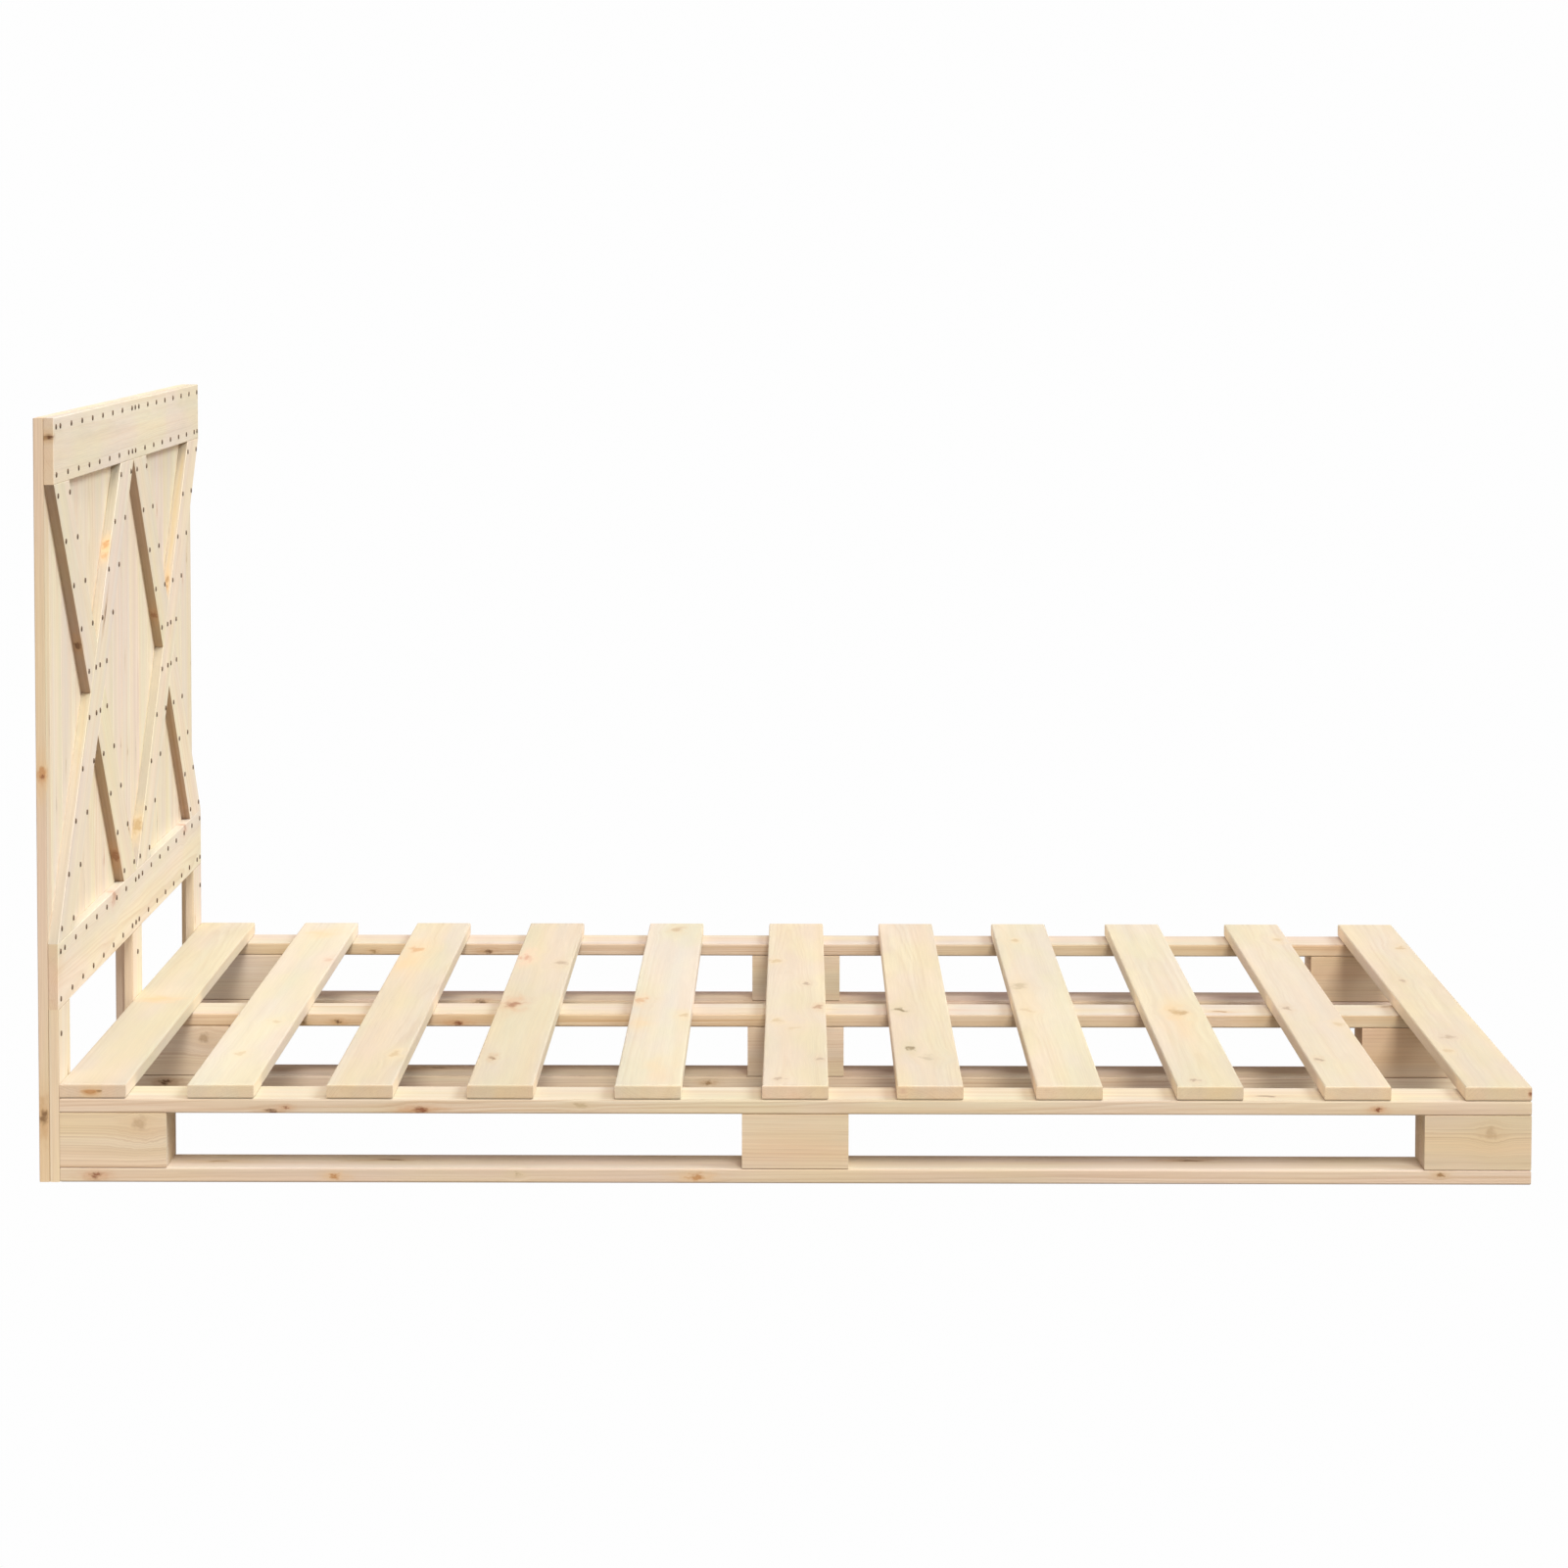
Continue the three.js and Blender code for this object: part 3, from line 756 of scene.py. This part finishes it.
def hidden_knots(name, chance, size):
    """Small knots for a board whose own ones don't show, on its widest face."""
    face = "top" if name.startswith(("slat", "runner", "block")) else "foot"
    width, height = (size.x, size.y) if face == "top" else (size.y, size.z)
    for _ in range(chance.choice(KNOT_COUNTS)):
        first = chance.uniform(*SHARES_ALONG) * width / MM
        second = chance.uniform(*SHARES_ACROSS) * height / MM
        radius = chance.uniform(*KNOT_RADII)
        stain = chance.choice(KNOT_STAINS)
        strength = chance.uniform(*KNOT_STRENGTHS)
        stretch = chance.uniform(*KNOT_STRETCHES)
        yield face, first, second, radius, stain, strength, stretch


def put_knots(bench, name, place, turn, chance):
    """Puts a board's knots in. The answers are its place, bent round them, and the stains they leave."""
    low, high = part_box(name)
    middle = (low + high) / 2
    along, through = lie_of_board(name)
    bent, stains = place, []
    for knot in KNOTS.get(name) or hidden_knots(name, chance, high - low):
        face, first, second, radius, stain, strength, stretch = knot
        point, branch = knot_point(low, high, face, first, second, along, through)
        if face == "end":
            depth, stretch = radius * stretch, END_STRETCH
        else:
            depth = KNOT_DEPTHS[face]
        values = {
            "Place": place,
            "Bent Place": bent,
            "Middle": turn @ (point - middle),
            "Branch": turn @ branch,
            "Radius": radius * MM,
            "Stretch": stretch,
            "Depth": depth * MM,
        }
        node = bench.put("ShaderNodeGroup", values, node_tree=PINE_KNOT)
        patch = radius >= PATCH_RADIUS
        if not patch:
            bent = node.outputs["Bent Place"]
        stains.append((node, STAINS[stain], strength, patch))
    return bent, stains


def add_stains(bench, colour, stains):
    for node, (core, halo), strength, patch in stains:
        spread = bench.times(node.outputs["Halo"], HALO_STRENGTH * strength)
        colour = bench.blend(spread, colour, with_alpha(halo))
        if not patch:
            stained = bench.times(node.outputs["Core"], CORE_STRENGTH * strength, use_clamp=True)
            colour = bench.blend(stained, colour, with_alpha(core))
    return colour


def pine_board(name, chance):
    """One board's own pine, with the grain along the board and its knots where they belong."""
    low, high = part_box(name)
    along, through = lie_of_board(name)
    turn = Matrix((along, through.cross(along), through))
    material, bench, shader = new_material(f"pine_{name}")
    coordinates = bench.put("ShaderNodeTexCoord")
    board = {
        "Vector": coordinates.outputs["Object"],
        "Rotation": turn.to_euler(),
        "Location": -(turn @ ((low + high) / 2)),
    }
    place = bench.put("ShaderNodeMapping", board).outputs["Vector"]
    bent, stains = put_knots(bench, name, place, turn, chance)

    def faces(direction):
        """Where the surface faces a direction, or faces away from it."""
        lean = bench.vector("DOT_PRODUCT", coordinates.outputs["Normal"], direction, answer="Value")
        return bench.rise(bench.maths("ABSOLUTE", lean), *FACE_LEAN)

    narrow = faces(through.cross(along))
    ends = faces(along)
    early, late = TONES[by_start(BOARD_TONES, name)]
    side_figure = bench.rise(narrow, 0.0, 1.0, 1.0, by_start(SIDE_FIGURES, name, 1.0))
    seed = chance.uniform(*SEEDS)
    aside = chance.uniform(*HEART_ASIDE)
    away = chance.choice([-1, 1]) * chance.uniform(*HEART_AWAY)
    growth = {
        "Place": bent,
        "Seed": seed,
        "Heart": (0, aside, away),
        "Ring Width": chance.uniform(*RING_WIDTHS),
        "Taper": chance.uniform(*TAPERS),
        "End Grain": ends,
        "Early Wood": with_alpha(early),
        "Late Wood": with_alpha(late),
        "Figure": bench.times(by_start(FIGURES, name), side_figure),
    }
    wood = bench.put("ShaderNodeGroup", growth, node_tree=PINE)
    # Narrow sides and sawn ends get tones that are partly the wood's own and partly painted shade and light,
    # for how the light falls on each face
    tone = bench.blend(narrow, WHITE, tone_of(SIDE_TONES_AND_PAINTED_LIGHT, name))
    tone = bench.blend(ends, tone, tone_of(END_TONES_AND_PAINTED_LIGHT, name))
    colour = bench.blend(1.0, wood.outputs["Colour"], tone, "MULTIPLY")
    # Painted shade on the rounded edges, for the shade in the grooves where boards meet
    if name.startswith(tuple(PAINTED_ARRIS_SHADES)):
        flat = bench.maths("MAXIMUM", bench.maths("MAXIMUM", ends, faces(through)), narrow)
        painted_shade_mask = bench.rise(flat, *ARRIS_SHARE)
        colour = bench.blend(painted_shade_mask, colour, tone_of(PAINTED_ARRIS_SHADES, name), "MULTIPLY")
    bench.surface(shader, add_stains(bench, colour, stains), wood, WOOD_BUMP, WOOD_BUMP_HEIGHT)
    shader.inputs["Specular IOR Level"].default_value = WOOD_SHEEN
    return material


def dress_boards():
    chance = random.Random(BOARD_DRAW)
    for name in sorted(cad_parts):
        if not name.startswith("coach_screw"):
            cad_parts[name].material_slots[0].material = pine_board(name, chance)


# Screws

# Steel: the scales of its turning marks and of its coat, and what the uneven coat does to it
TURNING_MARKS = (4000.0, 300.0, 300.0)
COAT_SCALE = 260.0
COAT_SHADE = (0.3, 0.7, 0.82, 1.08)
COAT_ROUGHNESS = (0.3, 0.7, -0.06, 0.1)
STEEL_BUMP = 0.2
STEEL_BUMP_HEIGHT = 0.0001
STEEL_METALLIC = 0.9


def make_steel_group():
    """Steel with fine turning marks and a dull, uneven coat."""
    bench, given, result = new_group(
        "coated_steel",
        "ShaderNodeTree",
        [
            ("NodeSocketVector", "Place", None),
            ("NodeSocketColor", "Coat", (0.5, 0.5, 0.5, 1)),
            ("NodeSocketFloat", "Dullness", 0.4),
        ],
        [("NodeSocketColor", "Colour"), ("NodeSocketFloat", "Roughness"), ("NodeSocketFloat", "Height")],
    )
    wear = bench.noise(given["Place"], COAT_SCALE)
    shade = bench.rise(wear, *COAT_SHADE)
    tone = bench.put("ShaderNodeCombineColor", {"Red": shade, "Green": shade, "Blue": shade}).outputs[0]
    rough = bench.plus(given["Dullness"], bench.rise(wear, *COAT_ROUGHNESS))
    marks = bench.noise(bench.vector("MULTIPLY", given["Place"], TURNING_MARKS), detail=1.0)
    bench.feed(result["Colour"], bench.blend(1.0, given["Coat"], tone, "MULTIPLY"))
    bench.feed(result["Roughness"], rough)
    bench.feed(result["Height"], marks)
    return bench.tree


STEEL = make_steel_group()


def steel(name, coat, dullness):
    material, bench, shader = new_material(name)
    place = bench.put("ShaderNodeTexCoord").outputs["Object"]
    coating = {"Place": place, "Coat": with_alpha(coat), "Dullness": dullness}
    metal = bench.put("ShaderNodeGroup", coating, node_tree=STEEL)
    bench.surface(shader, metal.outputs["Colour"], metal, STEEL_BUMP, STEEL_BUMP_HEIGHT)
    shader.inputs["Metallic"].default_value = STEEL_METALLIC
    return material


# The headboard's screw heads, in metres, and the seed of their turns
HEAD_SIZES = {"Head Width": 0.0068, "Head Height": 0.0012, "Recess Width": 0.004, "Recess Depth": 0.0009}
HEAD_SEED = 3

# Their shape: points of the round rim and of the cross, the cross's waist, the foot's flare, and
# how far the recess's floor runs past its walls
RIM_POINTS = 14
CROSS_POINTS = 4
CROSS_WAIST = 0.32
FOOT_FLARE = (1.14, 1.14, 1.0)
FLOOR_OVERLAP = (1.1, 1.1, 1)


def make_screw_tree(finish):
    """Screw heads on the points of a mesh, facing the foot of the bed, each turned a little differently."""
    bench, given, result = new_group(
        "screw_heads",
        "GeometryNodeTree",
        [
            ("NodeSocketGeometry", "Places", None),
            *[("NodeSocketFloat", label, size) for label, size in HEAD_SIZES.items()],
            ("NodeSocketInt", "Seed", HEAD_SEED),
        ],
        [("NodeSocketGeometry", "Heads")],
    )
    half_width = bench.times(given["Head Width"], 0.5)
    recess_reach = bench.times(given["Recess Width"], 0.5)
    rim = {"Resolution": RIM_POINTS, "Radius": half_width}
    cross = {
        "Points": CROSS_POINTS,
        "Inner Radius": bench.times(recess_reach, CROSS_WAIST),
        "Outer Radius": recess_reach,
    }
    cross = bench.put("GeometryNodeCurveStar", cross).outputs["Curve"]
    outlines = bench.put("GeometryNodeJoinGeometry")
    bench.feed(outlines.inputs[0], bench.put("GeometryNodeCurvePrimitiveCircle", rim).outputs["Curve"])
    bench.feed(outlines.inputs[0], cross)
    face = bench.put("GeometryNodeFillCurve", {"Curve": outlines.outputs[0]}).outputs["Mesh"]
    height = bench.put("ShaderNodeCombineXYZ", {"Z": given["Head Height"]}).outputs[0]
    face = bench.put("GeometryNodeTransform", {"Geometry": face, "Translation": height}).outputs[0]

    neighbours = bench.put("GeometryNodeInputMeshEdgeNeighbors").outputs["Face Count"]
    border = bench.put("FunctionNodeCompare", {2: neighbours, 3: 1}, data_type="INT", operation="EQUAL")
    wall = {
        "Mesh": face,
        "Selection": border.outputs[0],
        "Offset": bench.scaled(height, -1.0),
        "Offset Scale": 1.0,
    }
    walls = bench.put("GeometryNodeExtrudeMesh", wall, mode="EDGES")
    flare = bench.vector("MULTIPLY", bench.put("GeometryNodeInputPosition").outputs[0], FOOT_FLARE)
    spread = {"Geometry": walls.outputs["Mesh"], "Selection": walls.outputs["Top"], "Position": flare}
    head = bench.put("GeometryNodeSetPosition", spread).outputs[0]

    floor_height = bench.minus(given["Head Height"], given["Recess Depth"])
    floor = {
        "Geometry": bench.put("GeometryNodeFillCurve", {"Curve": cross}).outputs["Mesh"],
        "Translation": bench.put("ShaderNodeCombineXYZ", {"Z": floor_height}).outputs[0],
        "Scale": FLOOR_OVERLAP,
    }
    whole = bench.put("GeometryNodeJoinGeometry")
    bench.feed(whole.inputs[0], head)
    bench.feed(whole.inputs[0], bench.put("GeometryNodeTransform", floor).outputs[0])
    tilt = {"Geometry": whole.outputs[0], "Rotation": (0, QUARTER_TURN, 0)}
    whole = bench.put("GeometryNodeTransform", tilt).outputs[0]
    turns = {0: (0, 0, 0), 1: (QUARTER_TURN, 0, 0), "Seed": given["Seed"]}
    spin = bench.put("FunctionNodeRandomValue", turns, data_type="FLOAT_VECTOR").outputs[0]
    heads = {"Points": given["Places"], "Instance": whole, "Rotation": spin}
    heads = bench.put("GeometryNodeInstanceOnPoints", heads).outputs[0]
    heads = bench.put("GeometryNodeRealizeInstances", {"Geometry": heads}).outputs[0]
    heads = bench.put("GeometryNodeSetMaterial", {"Geometry": heads, "Material": finish}).outputs[0]
    bench.feed(result["Heads"], heads)
    return bench.tree


# Distances of the screws, in millimetres
RAIL_ROW_INSET = 12.5
PLANK_SCREW_OFFSET = 29.0
CENTRE_POST_OFFSET = 15.7
BRACE_ROW_PITCH = 65.6
BRACE_SCREW_OFFSET = 47.5
LEG_SCREW_DROP = 35.0

PLANKS = 14
BRACE_ROWS_EACH_WAY = 5


def middle_across(box):
    low, high = box
    return (low.y + high.y) / 2


def screw_places():
    """Screws through each plank and post into the rails, and in rows through the braces and leg boards."""
    planks = [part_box(f"headboard_plank_{number:02d}") for number in range(1, PLANKS + 1)]
    posts = {side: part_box(f"headboard_post_{side}") for side in ("right", "centre", "left")}
    centre = middle_across(posts["centre"])
    post_screws = [middle_across(posts[side]) for side in ("right", "left")]
    post_screws += [centre - CENTRE_POST_OFFSET * MM, centre + CENTRE_POST_OFFSET * MM]
    pitch = planks[1][0].y - planks[0][0].y
    places = []
    for level in ("lower", "upper"):
        low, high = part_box(f"headboard_rail_{level}")
        for row, z in ((1, low.z + RAIL_ROW_INSET * MM), (-1, high.z - RAIL_ROW_INSET * MM)):
            offset = row * PLANK_SCREW_OFFSET * MM
            places += [(high.x, plank_low.y + pitch / 2 + offset, z) for plank_low, _ in planks]
            places += [(high.x, y, z) for y in post_screws]
    for side in ("right", "left"):
        low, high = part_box(f"brace_{side}_whole")
        middle = (low + high) / 2
        for number in range(-BRACE_ROWS_EACH_WAY, BRACE_ROWS_EACH_WAY):
            rise = (number + 0.5) * BRACE_ROW_PITCH * MM
            for slope in (BRACE_SLOPE, -BRACE_SLOPE):
                for offset in (-BRACE_SCREW_OFFSET * MM, BRACE_SCREW_OFFSET * MM):
                    places.append((high.x, middle.y + slope * rise + offset, middle.z + rise))
    for side, post in posts.items():
        low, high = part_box(f"headboard_leg_board_{side}")
        places.append((high.x, middle_across(post), high.z - LEG_SCREW_DROP * MM))
    return places


def make_screw_heads():
    finish = steel("dark_steel", coat=(0.19, 0.125, 0.08), dullness=0.5)
    mesh = bpy.data.meshes.new("screw_places")
    mesh.from_pydata(screw_places(), [], [])
    places = new_object("screw_places", mesh)
    rule = places.modifiers.new("screw_heads", "NODES")
    rule.node_group = make_screw_tree(finish)
    values = {**HEAD_SIZES, "Seed": HEAD_SEED}
    for item in rule.node_group.interface.items_tree:
        if item.item_type == "SOCKET" and item.in_out == "INPUT" and item.name in values:
            rule[item.identifier] = values[item.name]
    shown = places.evaluated_get(bpy.context.evaluated_depsgraph_get())
    heads = new_object("headboard_screws", bpy.data.meshes.new_from_object(shown))
    bpy.data.objects.remove(places)
    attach(heads, "root")


def dress_coach_screws():
    zinc = steel("zinc_plated_steel", coat=(0.58, 0.585, 0.59), dullness=0.32)
    for name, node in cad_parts.items():
        if name.startswith("coach_screw"):
            node.material_slots[0].material = zinc


# Studio

# What the camera sees of the floor and of the sky
SHOWN_WHITE = 0.99

FLOOR_REACH = 60.0
FLOOR_COLOUR = (0.25, 0.235, 0.215)
FLOOR_ROUGHNESS = 0.9

SKY_COLOUR = (1.0, 0.814, 0.80)
SKY_STRENGTH = 0.52

# Far lamps, which shine at the bed's middle: the way to each, its colour, its strength, and how
# wide it looks in degrees
LAMPS = {
    "front_light": ((0.80, -2.97, 3.94), (1.0, 0.985, 0.91), 2.0, 22),
    "right_light": ((3.63, -0.77, 3.35), (0.85, 0.97, 1.0), 2.0, 24),
    "back_light": ((-2.6, 1.9, 0.9), (0.86, 0.95, 1.0), 0.65, 30),
}


def white_to_camera(tree, other):
    """Plain white where the camera looks straight at it, and the other shader for all other light."""
    bench = Bench(tree)
    kind = "ShaderNodeEmission" if tree.nodes.get("Material Output") else "ShaderNodeBackground"
    white = bench.put(kind, {"Color": WHITE, "Strength": SHOWN_WHITE})
    seen = bench.put("ShaderNodeLightPath").outputs["Is Camera Ray"]
    return bench.put("ShaderNodeMixShader", {0: seen, 1: other, 2: white.outputs[0]}).outputs[0]


def make_floor():
    corners = [(x * FLOOR_REACH, y * FLOOR_REACH, 0) for x, y in ((-1, -1), (1, -1), (1, 1), (-1, 1))]
    mesh = bpy.data.meshes.new("floor")
    mesh.from_pydata(corners, [], [(0, 1, 2, 3)])
    floor = new_object("floor", mesh)
    paper, bench, shader = new_material("white_paper")
    shader.inputs["Base Color"].default_value = with_alpha(FLOOR_COLOUR)
    shader.inputs["Roughness"].default_value = FLOOR_ROUGHNESS
    shown = white_to_camera(bench.tree, shader.outputs[0])
    bench.feed(bench.tree.nodes["Material Output"].inputs["Surface"], shown)
    mesh.materials.append(paper)
    floor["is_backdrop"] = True


def make_sky():
    world = bpy.data.worlds.new("studio")
    bpy.context.scene.world = world
    world.use_nodes = True
    tree = world.node_tree
    sky = tree.nodes["Background"]
    sky.inputs["Color"].default_value = with_alpha(SKY_COLOUR)
    sky.inputs["Strength"].default_value = SKY_STRENGTH
    tree.links.new(white_to_camera(tree, sky.outputs[0]), tree.nodes["World Output"].inputs["Surface"])


def make_lamps():
    for name, (place, colour, strength, width) in LAMPS.items():
        lamp = bpy.data.lights.new(name, "SUN")
        lamp.color = colour
        lamp.energy = strength
        lamp.angle = math.radians(width)
        light = new_object(name, lamp)
        light.location = place
        light.rotation_euler = (-Vector(place)).to_track_quat("-Z", "Y").to_euler()


# Camera, at the photograph's place: it looks along +Y and a little down, and is shifted for the rest
CAMERA_PLACE = (0.0178, -6.5170, 1.2763)
CAMERA_YAW = math.radians(0.199)
CAMERA_PITCH = math.radians(3.471)
CAMERA_ROLL = math.radians(0.077)
CAMERA_LENS = 99.339
CAMERA_SENSOR = 36
CAMERA_SHIFT = -0.1775
CAMERA_RANGE = 200


def make_camera():
    forward = Vector((-math.sin(CAMERA_YAW), math.cos(CAMERA_YAW), 0)) * math.cos(CAMERA_PITCH)
    forward.z = -math.sin(CAMERA_PITCH)
    right = Vector((math.cos(CAMERA_YAW), math.sin(CAMERA_YAW), 0))
    up = right.cross(forward)
    tilted_right = right * math.cos(CAMERA_ROLL) + up * math.sin(CAMERA_ROLL)
    tilted_up = up * math.cos(CAMERA_ROLL) - right * math.sin(CAMERA_ROLL)
    lens = bpy.data.cameras.new("camera")
    lens.lens = CAMERA_LENS
    lens.sensor_width = CAMERA_SENSOR
    lens.shift_y = CAMERA_SHIFT
    lens.clip_end = CAMERA_RANGE
    camera = new_object("camera", lens)
    camera.matrix_world = Matrix((tilted_right, tilted_up, -forward)).transposed().to_4x4()
    camera.location = CAMERA_PLACE
    bpy.context.scene.camera = camera


make_camera()
make_sky()
make_lamps()
make_floor()
dress_boards()
dress_coach_screws()
make_screw_heads()

bpy.context.scene.view_settings.view_transform = "Standard"
bpy.context.scene.view_settings.look = "None"

boxes = {"cad": cad_bounds, "visual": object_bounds()}
{name: [list(corner) for corner in box] for name, box in boxes.items()}
